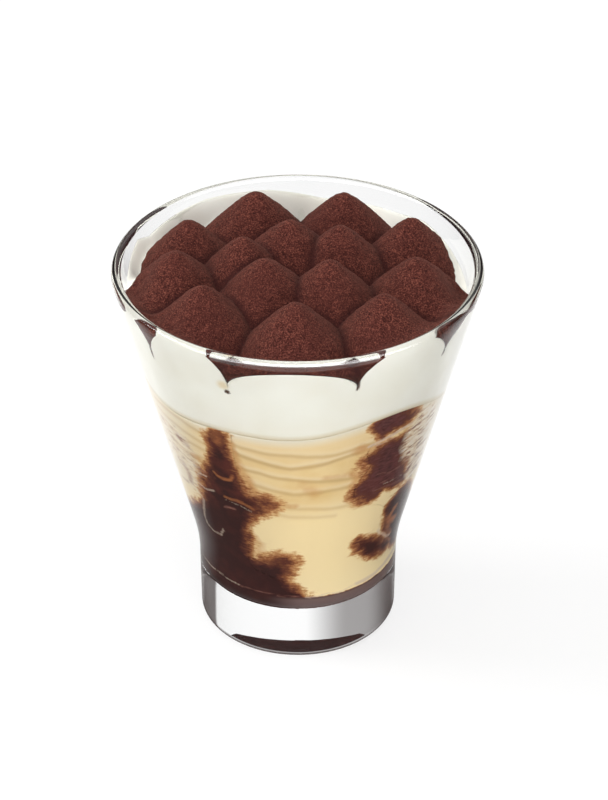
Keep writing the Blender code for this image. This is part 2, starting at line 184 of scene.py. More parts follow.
# Dark patches of the marbling at the wall, each an outline of (turn, height in mm)
SOAKED_PATCHES = (
    ((-124.1, 63), (-121.1, 64.9), (-119.3, 63.2), (-118.4, 61.1), (-117.9, 58.2), (-116.2, 55),
     (-115, 51.5), (-114.3, 48), (-111.5, 46), (-105.9, 45.9), (-100.5, 45.1), (-105.6, 42.4),
     (-112.3, 39), (-114.7, 36.2), (-115.9, 31.5), (-117.4, 27.5), (-113.5, 25.6), (-106.7, 26.9),
     (-99.5, 28.4), (-93, 27.4), (-94.8, 23.4), (-96, 20.5), (-91.7, 18.8), (-84.7, 16.4), (-80, 15.5),
     (-80, 8), (-190, 8), (-190, 28), (-172, 31), (-158, 33.6), (-146, 36.7), (-139.4, 41.6), (-136, 46),
     (-131.4, 50.2), (-128.6, 53.9), (-126.2, 57.6), (-126.9, 60.5)),
    ((-61.7, 66), (-55, 68.5), (-47, 68.5), (-43, 65.6), (-44.5, 63.2), (-50.3, 62.6), (-56.4, 61.7),
     (-59.3, 63.8)),
    ((-54.6, 59.5), (-49.6, 59.3), (-44, 58.6), (-40.6, 55.8), (-40.6, 53), (-36.9, 49.6), (-36.1, 46.8),
     (-33, 44.2), (-39.1, 43.3), (-47.9, 44.9), (-52.3, 43.3), (-57.1, 42.6), (-62.3, 44.2),
     (-65.6, 46.4), (-63.2, 48.8), (-60.4, 50.3), (-59.4, 51.9), (-61.8, 54.9), (-61.8, 56.3),
     (-57.8, 57.9)),
    ((-35.4, 40.6), (-26, 40), (-14, 34.5), (-4, 30), (-2, 22), (-11.5, 19.6), (-22, 21.6), (-31.5, 25.8),
     (-37.7, 31.2), (-42.2, 35.9), (-40.9, 39)),
    ((-57.3, 29), (-54.8, 30.9), (-44.8, 29.3), (-34.7, 26.6), (-23, 23.4), (-32, 21.8), (-45.7, 23.7),
     (-53.1, 26.3)),
)

# Width in mm of the haze at the edge of the patches, and how narrow it gets at the floor
FRINGE = 1.35
FLOOR_FRINGE = 0.3
FRINGE_FADE = (15.6, 18)

# Spots where that haze is wider: turn, height, radius and extra width in mm
HAZE = (
    (-104, 44.5, 7, 2.4), (-98, 26, 6.5, 2.6), (-113, 29, 4, 2), (-119, 62, 4.5, 1.2), (-118, 52, 5, 1.2),
    (-93, 20, 5, 1.2), (-63, 56, 5, 2.2), (-61, 45, 5, 1.6), (-36, 52, 7, 2.2), (-44, 65.5, 5, 2.6),
    (-33, 27, 4.5, 1.4), (-57, 29, 3, 1.2), (-143, 44, 7, 1.4), (-137, 47, 4.5, 2.2), (-130, 41, 5, 0.8),
)

# Soaked layer on the floor, seen through its curved edge: top in mm, and sharpness of its edge
FLOOR_LAYER_TOP = 15.8
FLOOR_LAYER_EDGE = 1.6

# Strokes at the wall: half-width in mm, strength, and their line as (turn, height in mm)
PALE_STROKES = (
    (0.5, 0.66, ((-143.5, 41.4), (-141.2, 39.6), (-142.4, 36.6), (-144.9, 33.6), (-144.4, 31.2),
                 (-140.5, 29.9), (-135.4, 30.2), (-131.6, 32.2))),
    (0.38, 0.85, ((-143.4, 44.6), (-139.2, 44.1), (-136, 43.6), (-130.5, 44.4))),
    (0.34, 0.9, ((-140, 46.9), (-136.6, 47.9), (-133, 47.7))),
    (0.34, 0.7, ((-147, 50.8), (-141, 50.2), (-135, 50.4))),
    (0.4, 0.6, ((-152, 42.2), (-147, 41), (-143, 41.6))),
    (0.28, 0.6, ((-124.5, 42.9), (-117.5, 42), (-111.5, 41.3))),
    (0.55, 1, ((-61.5, 59.9), (-54.5, 60.9), (-48.6, 61.5), (-42, 61.6))),
    (0.3, 0.7, ((-58.2, 59.6), (-50.5, 60.2))),
    (0.28, 0.6, ((-49, 46.4), (-38, 46.2))),
    (0.6, 0.8, ((-44, 31.6), (-38, 28.6), (-32.6, 26.4), (-28.6, 26))),
    (0.4, 0.8, ((-31, 43.4), (-25, 41.2))),
    # The three strokes below, along the bottom edge of the contents, are a painted highlight where the
    # glass bends into its floor
    (0.28, 0.75, ((-170, 16.4), (-150, 16.4), (-128, 16.3))),
    (0.34, 0.8, ((-84, 16.2), (-62, 16.3), (-48, 16.5))),
    (0.62, 1.2, ((-52, 16.4), (-36, 16.9), (-20, 17.6), (0, 18))),
)
AMBER_STROKES = (
    (0.55, 1, ((-127.2, 50.4), (-125.8, 49.6), (-122.6, 49.3), (-119.4, 50), (-117.4, 51.3))),
    (0.6, 0.9, ((-124.5, 43.9), (-116.1, 43), (-109.7, 42.2))),
    (1.6, 0.85, ((-122, 64.4), (-121.6, 61))),
    (1.3, 0.9, ((-116.4, 62), (-115, 57.4), (-112.6, 52), (-109, 47.8))),
    (1.5, 0.65, ((-112.5, 33.8), (-110.5, 29.4), (-105, 27.6))),
    (0.9, 0.6, ((-104.5, 46.6), (-98, 45.4), (-91, 44.6))),
    (2.2, 0.4, ((-108, 27), (-100, 26.6), (-95.5, 23.6))),
    (1, 0.85, ((-138.4, 52.6), (-133.6, 52.2))),
    (1.5, 0.75, ((-66.5, 59.6), (-60.2, 59.2), (-54, 59.8))),
    (1.2, 0.85, ((-66.6, 53), (-63, 51), (-66, 49))),
    (0.9, 0.7, ((-67, 46), (-64, 43.2), (-58, 41.8))),
    (1.3, 1, ((-40.6, 33.4), (-34.8, 31.6), (-30, 31))),
    (1, 1, ((-34, 36), (-36.4, 32.6), (-33.6, 28.4), (-29, 26.4))),
    (0.45, 0.9, ((-33.6, 43.2), (-30, 41.4), (-25.5, 39.8))),
    (2, 0.42, ((-88.4, 51.2), (-84.5, 49.8), (-82, 48.4))),
    (1, 0.45, ((-79, 53), (-70, 52.6))),
)
PINK_STROKES = (
    (0.42, 0.9, ((-127, 40.3), (-121.5, 40.6))),
    (1.1, 0.95, ((-146, 55.9), (-141, 55.2))),
    (0.6, 0.75, ((-154, 51.2), (-150.6, 50.7))),
    (1.2, 0.8, ((-150, 47), (-146.4, 45.2), (-147.6, 42.8))),
    (0.6, 0.6, ((-158.6, 40.6), (-150.4, 41.6))),
    (0.45, 0.9, ((-140, 49.3), (-136.4, 49.2), (-132.6, 48.9))),
    (0.35, 0.6, ((-143.5, 43.2), (-138.5, 43.4))),
    (0.34, 0.55, ((-55.6, 50.2), (-48, 49.6), (-40.1, 49.7))),
    (0.34, 0.55, ((-55, 45.6), (-46, 45.4), (-35.3, 44.4))),
    (0.28, 0.5, ((-47, 54.2), (-40, 54.2))),
    (0.28, 0.6, ((-52, 47.4), (-43, 47))),
    (0.3, 0.6, ((-128, 16.3), (-105, 16.2), (-80, 16.2))),
)

# Flecked places: turn and height of the middle, half-widths in mm along and up, and strength
FLECKS = (
    (-150, 52, 9.5, 10, 0.5), (-33, 57, 7.5, 10, 0.85), (-27, 48, 5, 8, 0.85),
)

# Ripples in the custard: strength, and line as (turn, height in mm). Each dark line is partly the syrup's
# own colour and partly painted shade in the groove, with a painted highlight line above
RIPPLES = (
    (0.75, ((-118, 61.6), (-112.3, 60.9), (-104.4, 60.2), (-92.9, 60), (-80.6, 59.3), (-68, 60.2),
            (-60, 60.9))),
    (1, ((-117, 59.6), (-112.9, 58.5), (-104.8, 57.4), (-93, 56.1), (-80.4, 57.2), (-70.3, 58.5),
         (-64, 58.9))),
    (0.9, ((-116.5, 55.4), (-111.8, 54.3), (-103.4, 53.7), (-91.5, 52.6), (-77.2, 51.7), (-64.4, 51.6))),
    (0.75, ((-114, 50.6), (-103.9, 49.6), (-91.6, 48.3), (-85.1, 48.6), (-66.3, 49.1))),
    (0.55, ((-106.4, 46), (-93.4, 43.9), (-76.1, 43.3), (-62.1, 43.2))),
    (0.45, ((-104.5, 42.4), (-93.6, 41.1), (-72.5, 40.9))),
    (0.65, ((-158, 62.5), (-145, 62.6), (-130, 61.8))),
    (0.6, ((-158, 60), (-144, 59.4), (-129, 58.6))),
    (0.6, ((-158, 57.2), (-143, 56.6), (-130, 56.2))),
    (0.5, ((-158, 54), (-144, 52.6), (-132, 53.6))),
)
RIPPLE_WIDTH = 0.55
RIPPLE_HIGHLIGHT_WIDTH = 0.7
RIPPLE_HIGHLIGHT_RISE = 0.9

# Even rows of ripples behind, dark lines partly of syrup colour and partly of painted shade, in mm
ROWS_BOTTOM = 39
ROWS_START = 40
ROW_STEP = 4.3
ROW_WIDTH = 0.5
ROW_WAVE = 0.9
ROW_STRENGTH = 0.5

# Zones at the wall: the turns, and the heights in mm, between which each one fades in
PALE_LEFT = ((-128, -144), (36, 43))
PALE_RIGHT = ((-42, -26), (38, 46))
MAROON_ZONE = ((-76, -64), (37, 42))
FLOOR_BAND = ((-112, -84), (15.9, 15.3))
# Painted reflection of the glass, a pale haze at both sides of the front: heights in mm between which it
# fades out upward on the right, and its strength on the left and on the right
REFLECTION_VEIL_TOP = (66, 60)
REFLECTION_VEIL_LEFT = 0.3
REFLECTION_VEIL_RIGHT = 0.5

# Wander of the marbling: size and seeds of its noise, and how far in mm each thing moves
WARP_SIZE = 4 * MM
WARP_SEEDS = (3, 7)
TURN_WARP = 0.55
HEIGHT_WARP = 0.5
OUTLINE_WARP = 0.9
RIPPLE_WARP = 0.25
ROW_WARP = 0.4

# Camera, and the place that the lamps point at
CAMERA_PLACE = (1.334 * MM, -587.598 * MM, 437.44 * MM)
CAMERA_AIM = (1.334 * MM, 0, 53.341 * MM)
CAMERA_LENS = 147.3
LIT_PLACE = (0, 0, 0.06)


# Numbers

def smoothstep(low, high, value):
    share = np.clip((value - low) / (high - low), 0, 1)
    return share * share * (3 - 2 * share)


def lattice(cells, seed):
    """Random number from 0 to 1 for each whole-numbered cell, the same in every run."""
    mixed = cells[..., 0] * 73856093 ^ cells[..., 1] * 19349663 ^ cells[..., 2] * 83492791
    mixed = (mixed ^ seed * 2654435761) & 0xFFFFFFFF
    for _ in range(2):
        mixed = (mixed ^ (mixed >> 16)) * 0x45D9F3B & 0xFFFFFFFF
    return (mixed ^ (mixed >> 16)) / 0xFFFFFFFF


def noise(points, size, seed):
    """Smooth noise round 0 at each point: lumps of the given size, and weaker ones half as big."""
    total = np.zeros(len(points))
    for octave, weight in enumerate((1, 0.5)):
        place = points / (size * weight)
        cell = np.floor(place).astype(np.int64)
        t = smoothstep(0, 1, place - cell)
        for corner in np.ndindex(2, 2, 2):
            share = np.prod(np.where(corner, t, 1 - t), axis=1)
            total += weight * share * (2 * lattice(cell + corner, seed + octave) - 1)
    return total


def unevenness(points, lumps):
    return sum(depth * noise(points, size, seed) for depth, size, seed in lumps)


def turn_after(angle, start):
    """Angle as a turn in degrees from start to start + 360."""
    return (np.degrees(angle) - start) % 360 + start


def around(angle, middle, span, fade):
    """1 within a span of degrees on both sides of a middle turn, and 0 outside."""
    away = np.abs((np.degrees(angle) - middle + 180) % 360 - 180)
    return 1 - smoothstep(span - fade, span, away)


# Shape of the glass and of what fills it

def outer_radius(height):
    """Radius of the outside of the glass, above the rounded corner of its foot."""
    height = np.asarray(height, float)
    slope = (RIM_RADIUS - CONE_START_RADIUS) / (GLASS_HEIGHT - WALL / 2 - CONE_START)
    foot_slope = FOOT_FLARE / (FOOT_TOP - FOOT_CORNER)
    span = CONE_START - FOOT_TOP
    t = (height - FOOT_TOP) / span
    low = FOOT_RADIUS + FOOT_FLARE
    blend = low + (CONE_START_RADIUS - low) * t * t * (3 - 2 * t)
    blend += span * t * (1 - t) * (foot_slope * (1 - t) - slope * t)
    foot = FOOT_RADIUS + foot_slope * (height - FOOT_CORNER)
    cone = CONE_START_RADIUS + slope * (height - CONE_START)
    return np.where(height >= CONE_START, cone, np.where(height <= FOOT_TOP, foot, blend))


def filled_radius(height):
    """Radius to which the contents reach, a hair inside the glass."""
    return outer_radius(height) - WALL + REACH


def degree_length(height):
    """Length of one degree along the wall at a height, both in mm."""
    return filled_radius(height * MM) / MM * math.radians(1)


def interface_height(angle):
    waves = sum(size * np.cos(order * (angle - math.radians(phase)))
                for order, size, phase in INTERFACE_WAVES)
    return INTERFACE_HEIGHT + waves


def mound_turns(ring):
    count = len(ring["turns"])
    return [ring["first"] + 360 * i / count + turn for i, turn in enumerate(ring["turns"])]


def ring_of_mounds(ring):
    """Place, peak and slope of each mound in a ring."""
    mounds = []
    for index, (turn, shift) in enumerate(zip(mound_turns(ring), ring["shifts"])):
        angle = math.radians(turn)
        radius = (ring["radius"] + shift) * MM
        wave = math.sin(UNEVENNESS_STEP * index + ring["radius"])
        slope = MOUND_SLOPE * (1 + MOUND_UNEVENNESS * wave)
        mounds.append((radius * math.cos(angle), radius * math.sin(angle), ring["peak"] * MM, slope))
    return mounds


MOUNDS = ring_of_mounds(OUTER_RING) + ring_of_mounds(INNER_RING)


def arcs(angle, cusps, tops, bottom):
    """Height of a row of round arcs, and the bottom elsewhere."""
    degrees = np.degrees(angle)
    height = np.full_like(degrees, bottom)
    for start, end, top in zip(cusps, cusps[1:], tops):
        along = (degrees - start) % 360
        across = np.clip(np.abs(2 * along / (end - start) - 1), 0, 1)
        arc = bottom + (top * MM - bottom) * np.sqrt(1 - across**2)
        height = np.where(along <= end - start, np.maximum(height, arc), height)
    return height


def lobes(angle):
    """Height of the lobes of cream at the glass."""
    peaks = mound_turns(OUTER_RING)
    ends = peaks[1:] + [peaks[0] + 360]
    cusps = [(peak + end) / 2 + nudge for peak, end, nudge in zip(peaks, ends, CUSP_NUDGES)]
    height = arcs(angle, cusps + [cusps[0] + 360], LOBE_TOPS, CUSP_BOTTOM)
    return np.minimum(height, LOBE_LIMIT)


def collar(angle):
    """1 where white cream shows between the mounds and the back of the glass."""
    return around(angle, COLLAR_MIDDLE, COLLAR_SPAN, COLLAR_FADE)


def cream_edge(angle):
    """Height of the cream's top edge at the glass."""
    raised = MM * np.interp(turn_after(angle, -90), COLLAR_TURNS, COLLAR_TOPS)
    front = lobes(angle)
    return front + (raised - front) * around(angle, COLLAR_MIDDLE, COLLAR_EDGE_SPAN, COLLAR_FADE)


def cocoa_wall_top(angle, edge):
    """Height of the cocoa's top at the glass, above the cream's edge."""
    line = MM * np.interp(turn_after(angle, -270), COCOA_FRONT_TURNS, COCOA_FRONT_TOPS)
    share = around(angle, -90, COCOA_FRONT_SPAN, COCOA_FRONT_FADE)
    plain = edge + COCOA_ON_GLASS
    return plain + (np.maximum(line, edge + LEAST_ON_GLASS) - plain) * share


def mound_heights(x, y):
    """Height of each mound at each place, as if it stood alone."""
    centre_x, centre_y, peak, slope = np.array(MOUNDS).T[:, :, None]
    away = np.hypot(x - centre_x, y - centre_y)
    flank = slope * (np.hypot(away, MOUND_TIP) - MOUND_TIP)
    return peak - flank - MOUND_BELLY * away**2


def mound_field(x, y):
    """Height of all mounds together, with soft creases between them."""
    heights = mound_heights(x, y)
    top = heights.max(axis=0)
    return top + COCOA_CREASE * np.log(np.exp((heights - top) / COCOA_CREASE).sum(axis=0))


def cocoa_rim(angle, height):
    """Radius at which the cocoa ends: at the glass in front, and on the cream at the back."""
    wall = filled_radius(height)
    place = np.stack([wall * np.cos(angle), wall * np.sin(angle), 0 * angle], axis=1)
    return wall - collar(angle) * (COLLAR_WIDTH + unevenness(place, EDGE_LUMPS))


def piped_top(x, y, wall_height):
    """Piped surface, which settles to wall_height at the front of the glass."""
    radius = np.hypot(x, y)
    back = collar(np.arctan2(y, x))
    share = smoothstep(WALL_BLEND_START, filled_radius(wall_height), radius) * (1 - back)
    return mound_field(x, y) * (1 - share) + wall_height * share


def cream_top(angle, radius, edge):
    """Cream under the cocoa, which rises to its edge on the back of the glass."""
    wall = filled_radius(edge)
    wall_top = cocoa_wall_top(angle, edge)
    top = piped_top(radius * np.cos(angle), radius * np.sin(angle), wall_top)
    near = smoothstep(wall - CREAM_BAND, wall, radius)
    under = top - COCOA_THICKNESS - (wall_top - edge - COCOA_THICKNESS) * near
    start = wall - COLLAR_WIDTH - COLLAR_OVERLAP
    rise = smoothstep(start, wall, radius) * collar(angle)
    return under + (edge - under) * rise


# Building meshes

def add_object(name, data):
    obj = bpy.data.objects.new(name, data)
    bpy.context.scene.collection.objects.link(obj)
    return obj


def dress(obj, material, node):
    """Gives an object its material and lets it stand for a node of the frame."""
    obj.data.shade_smooth()
    obj.data.materials.append(material)
    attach(obj, "root")
    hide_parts(node)


def new_piece(name, verts, faces, material, node):
    mesh = bpy.data.meshes.new(name)
    mesh.from_pydata(verts.tolist(), [], faces)
    mesh.update()
    obj = add_object(name, mesh)
    dress(obj, material, node)
    return obj


def ring_angles(segments):
    return 2 * np.pi * np.arange(segments) / segments


def ring_faces(rings, segments):
    """Squares between rings of points that follow each other."""
    low = np.arange((rings - 1) * segments).reshape(-1, segments)
    after = np.roll(low, -1, axis=1)
    faces = np.stack([low, after, after + segments, low + segments], axis=-1)
    return faces.reshape(-1, 4).tolist()


def fan_faces(ring, centre):
    """Triangles from the sides of a ring of points to a centre point."""
    return [(ring[i - 1], ring[i], centre) for i in range(len(ring))]


def closed_skin(profile, segments, low_centre, high_centre):
    """Closed mesh of rings round the Z axis, between a bottom and a top centre point.

    A profile row is the radius and height of a ring, as numbers or as one value for each point.
    """
    angle = ring_angles(segments)
    rings = [np.stack([radius * np.cos(angle), radius * np.sin(angle), height + 0 * angle], axis=1)
             for radius, height in profile]
    verts = np.concatenate([*rings, [(0, 0, low_centre), (0, 0, high_centre)]])
    bottom = len(profile) * segments
    faces = ring_faces(len(profile), segments)
    faces += fan_faces(range(segments)[::-1], bottom)
    faces += fan_faces(range(bottom - segments, bottom), bottom + 1)
    return verts, faces


def vertex_places(mesh):
    place = np.empty(3 * len(mesh.vertices))
    mesh.vertices.foreach_get("co", place)
    return place.reshape(-1, 3)


def set_attributes(obj, masks):
    for name, values in masks.items():
        attribute = obj.data.attributes.new(name, "FLOAT", "POINT")
        attribute.data.foreach_set("value", np.asarray(values, np.float32))


# Building materials

class Nodes:
    """Short ways to add nodes to a tree."""

    def __init__(self, tree):
        self.tree = tree

    def add(self, kind, inputs=None, **settings):
        node = self.tree.nodes.new(kind)
        for key, value in settings.items():
            setattr(node, key, value)
        for key, value in (inputs or {}).items():
            self.put(node.inputs[key], value)
        return node

    def put(self, socket, value):
        if isinstance(value, bpy.types.NodeSocket):
            self.tree.links.new(value, socket)
        else:
            socket.default_value = value

    def math(self, operation, first, second=0, third=0):
        return self.add("ShaderNodeMath", {0: first, 1: second, 2: third},
                        operation=operation).outputs[0]

    def times(self, first, second):
        return self.math("MULTIPLY", first, second)

    def ramp(self, factor, stops):
        node = self.add("ShaderNodeValToRGB", {"Fac": factor})
        elements = node.color_ramp.elements
        while len(elements) < len(stops):
            elements.new(1)
        for element, (position, color) in zip(elements, stops):
            element.position = position
            element.color = (*color, 1)
        return node.outputs["Color"]

    def mix(self, factor, first, second):
        first, second = (color if isinstance(color, bpy.types.NodeSocket) else (*color, 1)
                         for color in (first, second))
        return self.add("ShaderNodeMix", {0: factor, 6: first, 7: second},
                        data_type="RGBA").outputs[2]

    def cover(self, color, layers):
        """Lays colours over one another, each with its share."""
        for share, layer in layers:
            color = self.mix(share, color, layer)
        return color

    def remap(self, value, low, high, to_low=0, to_high=1, interpolation="LINEAR"):
        return self.add("ShaderNodeMapRange", {0: value, 1: low, 2: high, 3: to_low, 4: to_high},
                        clamp=True, interpolation_type=interpolation).outputs[0]


class Shader(Nodes):
    """A new material and short ways to set it."""

    def __init__(self, name):
        self.material = bpy.data.materials.new(name)
        self.material.use_nodes = True
        super().__init__(self.material.node_tree)
        self.surface = self.tree.nodes["Principled BSDF"]
        self.place = self.add("ShaderNodeTexCoord").outputs["Object"]

    def noise(self, size, detail=2, roughness=0.5, stretch=None):
        """Noise from 0 to 1 with lumps of the given size in metres."""
        place = self.place
        if stretch:
            place = self.add("ShaderNodeVectorMath", {0: place, 1: stretch},
                             operation="MULTIPLY").outputs[0]
        return self.add("ShaderNodeTexNoise",
                        {"Vector": place, "Scale": 1 / size, "Detail": detail,
                         "Roughness": roughness}).outputs["Fac"]

    def attribute(self, name):
        return self.add("ShaderNodeAttribute", attribute_name=name).outputs["Fac"]

    def set(self, **values):
        for key, value in values.items():
            self.put(self.surface.inputs[key.replace("_", " ")], value)

    def bump(self, height, distance, strength):
        node = self.add("ShaderNodeBump",
                        {"Height": height, "Distance": distance, "Strength": strength})
        self.set(Normal=node.outputs["Normal"])

    def blend_surface(self, share, other):
        """Shows another surface for a share of the rays."""
        mixed = self.add("ShaderNodeMixShader",
                         {0: share, 1: self.surface.outputs[0], 2: other.outputs[0]})
        self.put(self.tree.nodes["Material Output"].inputs["Surface"], mixed.outputs[0])


def glass_material():
    """Clear glass that lets the light of lamps through to the contents."""
    shader = Shader("clear_glass")
    shader.set(Base_Color=(0.99, 0.995, 0.995, 1), Roughness=0, IOR=1.5,
               Transmission_Weight=1)
    open_glass = shader.add("ShaderNodeBsdfTransparent", {"Color": (0.97, 0.98, 0.98, 1)})
    shader.blend_surface(shader.add("ShaderNodeLightPath").outputs["Is Shadow Ray"], open_glass)
    return shader.material


def cocoa_material():
    """Matt powder with grains and clumps, with painted shade in the creases between the mounds."""
    shader = Shader("cocoa_powder")
    grains = shader.noise(0.27 * MM, roughness=0.6)
    clumps = shader.noise(1 * MM, detail=4, roughness=0.65)
    patches = shader.noise(9 * MM)
    mixed = shader.math("MULTIPLY_ADD", grains, 0.75, shader.times(clumps, 0.25))
    color = shader.ramp(mixed, (
        (0.36, (0.018, 0.005, 0.0048)), (0.46, (0.056, 0.015, 0.012)),
        (0.54, (0.1, 0.028, 0.021)), (0.66, (0.225, 0.072, 0.05))))
    color = shader.cover(color, (
        (shader.remap(patches, 0.4, 0.65, 0, 0.35), (0.06, 0.016, 0.013)),
        # Painted shade: the creases between the mounds are darkened
        (shader.times(shader.attribute("painted_crease_shade"), 0.75), (0.03, 0.0085, 0.0085))))
    shader.set(Base_Color=color, Roughness=0.95, Specular_IOR_Level=0.05)
    shader.set(Sheen_Weight=0.13, Sheen_Roughness=0.5, Sheen_Tint=(0.85, 0.42, 0.32, 1))
    shader.bump(shader.math("MULTIPLY_ADD", clumps, 0.6, grains), 0.3 * MM, 0.9)
    return shader.material


class WallShader(Shader):
    """Colour of custard and sponge where they press on the glass, from the painted masks."""

    def __init__(self, name):
        super().__init__(name)
        self.coarse = self.noise(2.6 * MM, detail=4, roughness=0.62)
        self.streaks = self.noise(1.3 * MM, detail=4, roughness=0.6, stretch=(0.8, 0.8, 2.6))
        self.fine = self.noise(0.45 * MM, detail=3, roughness=0.6)

    def centred(self, value):
        return self.math("SUBTRACT", value, 0.5)

    def mark(self, name, breakup, low, high, strength=1):
        """A painted mask whose edge breaks up into the noise."""
        value = self.math("MULTIPLY_ADD", self.centred(breakup), 0.9, self.attribute(name))
        return self.remap(value, low, high, 0, strength)

    def custard_color(self):
        """Yellow in soft clouds, paler below the cream, with ripples and amber strokes. The ripples' dark
        lines are partly syrup colour and partly painted shade, and their light lines are a painted
        highlight.
        """
        under = self.attribute("under_line")
        clouds = self.remap(self.noise(8 * MM, detail=3), 0.38, 0.62)
        color = self.mix(clouds, (0.8, 0.6, 0.29), (0.85, 0.675, 0.37))
        return self.cover(color, (
            (self.remap(under, 1, 10, 0.85, 0), (0.86, 0.69, 0.42)),
            (self.remap(under, 0, 2.6, 0.75, 0), (0.8, 0.79, 0.72)),
            (self.remap(under, 18, 25), (0.92, 0.765, 0.455)),
            (self.times(self.attribute("paleness"), 0.9), (0.82, 0.74, 0.56)),
            # Painted highlight above each ripple, then the ripple's dark line, partly syrup colour and
            # partly painted shade
            (self.times(self.attribute("ripple_highlight"), 0.6), (0.88, 0.76, 0.53)),
            (self.times(self.attribute("ripple"), 0.62), (0.5, 0.31, 0.125)),
            (self.mark("amber", self.coarse, 0.15, 0.95, 0.85), (0.58, 0.27, 0.085))))

    def soaked_share(self):
        """0 outside the soaked patches and 1 well inside, with an edge that the noise ravels."""
        fringe = self.attribute("fringe")
        shift = 0
        for grain, reach in ((self.coarse, 4.2), (self.streaks, 3.6), (self.fine, 0.7)):
            shift = self.math("MULTIPLY_ADD", self.centred(grain), reach, shift)
        shift = self.times(shift, self.math("MULTIPLY_ADD", fringe, 0.32, 0.25))
        depth = self.math("ADD", shift, self.attribute("sponge_depth"))
        return self.remap(self.math("DIVIDE", depth, fringe), -1, 1)

    def wall_color(self):
        share = self.soaked_share()
        soaked = self.ramp(share, (
            (0, (0.78, 0.57, 0.29)), (0.22, (0.62, 0.35, 0.145)),
            (0.42, (0.33, 0.125, 0.052)), (0.62, (0.13, 0.042, 0.025)),
            (0.85, (0.068, 0.0215, 0.0175)), (1, (0.042, 0.0155, 0.0145))))
        inner = self.remap(share, 0.5, 0.9)
        reddish = self.remap(self.noise(3.4 * MM, detail=3), 0.44, 0.66, 0, 0.75)
        low_down = self.remap(self.attribute("under_line"), 20, 26, 1, 0.25)
        reddish = self.times(self.times(reddish, low_down), inner)
        maroon = self.times(self.remap(self.streaks, 0.38, 0.62, 0.25, 0.75),
                            self.times(self.attribute("maroon"), inner))
        inside = self.times(self.mark("amber", self.streaks, 0.32, 1.05),
                            self.remap(share, 0.5, 0.8, 0, 0.9))
        wisps = self.noise(2.5 * MM, detail=3.5, roughness=0.62, stretch=(0.8, 0.8, 2.6))
        flecks = self.ramp(wisps, (
            (0.34, (0.17, 0.075, 0.065)), (0.42, (0.48, 0.29, 0.19)),
            (0.49, (0.79, 0.66, 0.47)), (0.6, (0.88, 0.81, 0.69))))
        return self.cover(self.custard_color(), (
            (self.remap(share, 0, 0.26), soaked),
            (reddish, (0.11, 0.029, 0.022)),
            (maroon, (0.165, 0.06, 0.058)),
            (inside, (0.42, 0.15, 0.055)),
            (self.mark("pink", self.streaks, 0.2, 0.9, 0.8), (0.3, 0.13, 0.1)),
            # Pale strokes, the lowest of them a painted highlight along the bottom edge of the contents
            (self.mark("pale", self.fine, 0.3, 0.95, 0.8), (0.7, 0.56, 0.43)),
            (self.mark("flecks", self.coarse, 0.2, 0.9), flecks),
            # Painted reflection: a pale haze at the sides of the front
            (self.mark("reflection_veil", self.streaks, 0.25, 0.95, 0.85), (0.7, 0.64, 0.55)),
            (self.times(self.attribute("floor_band"), 0.55), (0.3, 0.21, 0.195))))


def custard_material():
    shader = WallShader("marbled_custard")
    shader.set(Base_Color=shader.wall_color(), Roughness=0.4, Specular_IOR_Level=0.06)
    return shader.material


def sponge_material():
    shader = WallShader("soaked_sponge")
    shader.set(Base_Color=shader.wall_color(), Roughness=0.55, Specular_IOR_Level=0.04)
    shader.bump(shader.noise(0.7 * MM, detail=3, roughness=0.6), 0.15 * MM, 0.5)
    return shader.material


def cream_material():
    """Soft white cream, yellower at its lower edge, with the smear, speck, stems, and brown at the sides
    that is partly cocoa dusting and partly a painted dark reflection.
    """
    shader = Shader("mascarpone_cream")
    clouds = shader.remap(shader.noise(9 * MM), 0.35, 0.65)
    color = shader.mix(clouds, (0.865, 0.85, 0.76), (0.9, 0.895, 0.82))
    fine = shader.noise(0.5 * MM, detail=3, roughness=0.6)

    def spot(place, low, high, strength=1):
        """Ragged spot round a place in millimetres, which fades out from low to high."""
        away = shader.add("ShaderNodeVectorMath",
                          {0: shader.place, 1: [MM * value for value in place]},
                          operation="DISTANCE").outputs["Value"]
        away = shader.math("MULTIPLY_ADD", fine, 0.9 * MM, away)
        return shader.remap(away, low * MM, high * MM, strength, 0)

    stem = shader.math("MULTIPLY_ADD", fine, 0.3, shader.attribute("stem"))
    dust_and_dark_reflection = shader.math("MULTIPLY_ADD", fine, 0.4, shader.attribute("dust_and_dark_reflection"))
    color = shader.cover(color, (
        (shader.remap(shader.attribute("over_line"), 0, 1.6, 1, 0), (0.7, 0.62, 0.44)),
        (spot(SMEAR_PLACE, 1, 2.1, 0.75), (0.76, 0.62, 0.37)),
        (spot(SPECK_PLACE, 1.15, 1.4), (0.09, 0.05, 0.03)),
        (shader.remap(stem, 0.3, 0.62, 0.95, 0), (0.11, 0.045, 0.037)),
        # Cocoa dusting on the glass, which is also a painted dark reflection for the rim's sides
        (shader.remap(dust_and_dark_reflection, 0.45, 0.95), (0.034, 0.0125, 0.013))))
    shader.set(Base_Color=color, Roughness=0.42, Specular_IOR_Level=0.08)
    shader.bump(shader.noise(1.5 * MM, detail=4), 0.05 * MM, 0.4)
    return shader.material


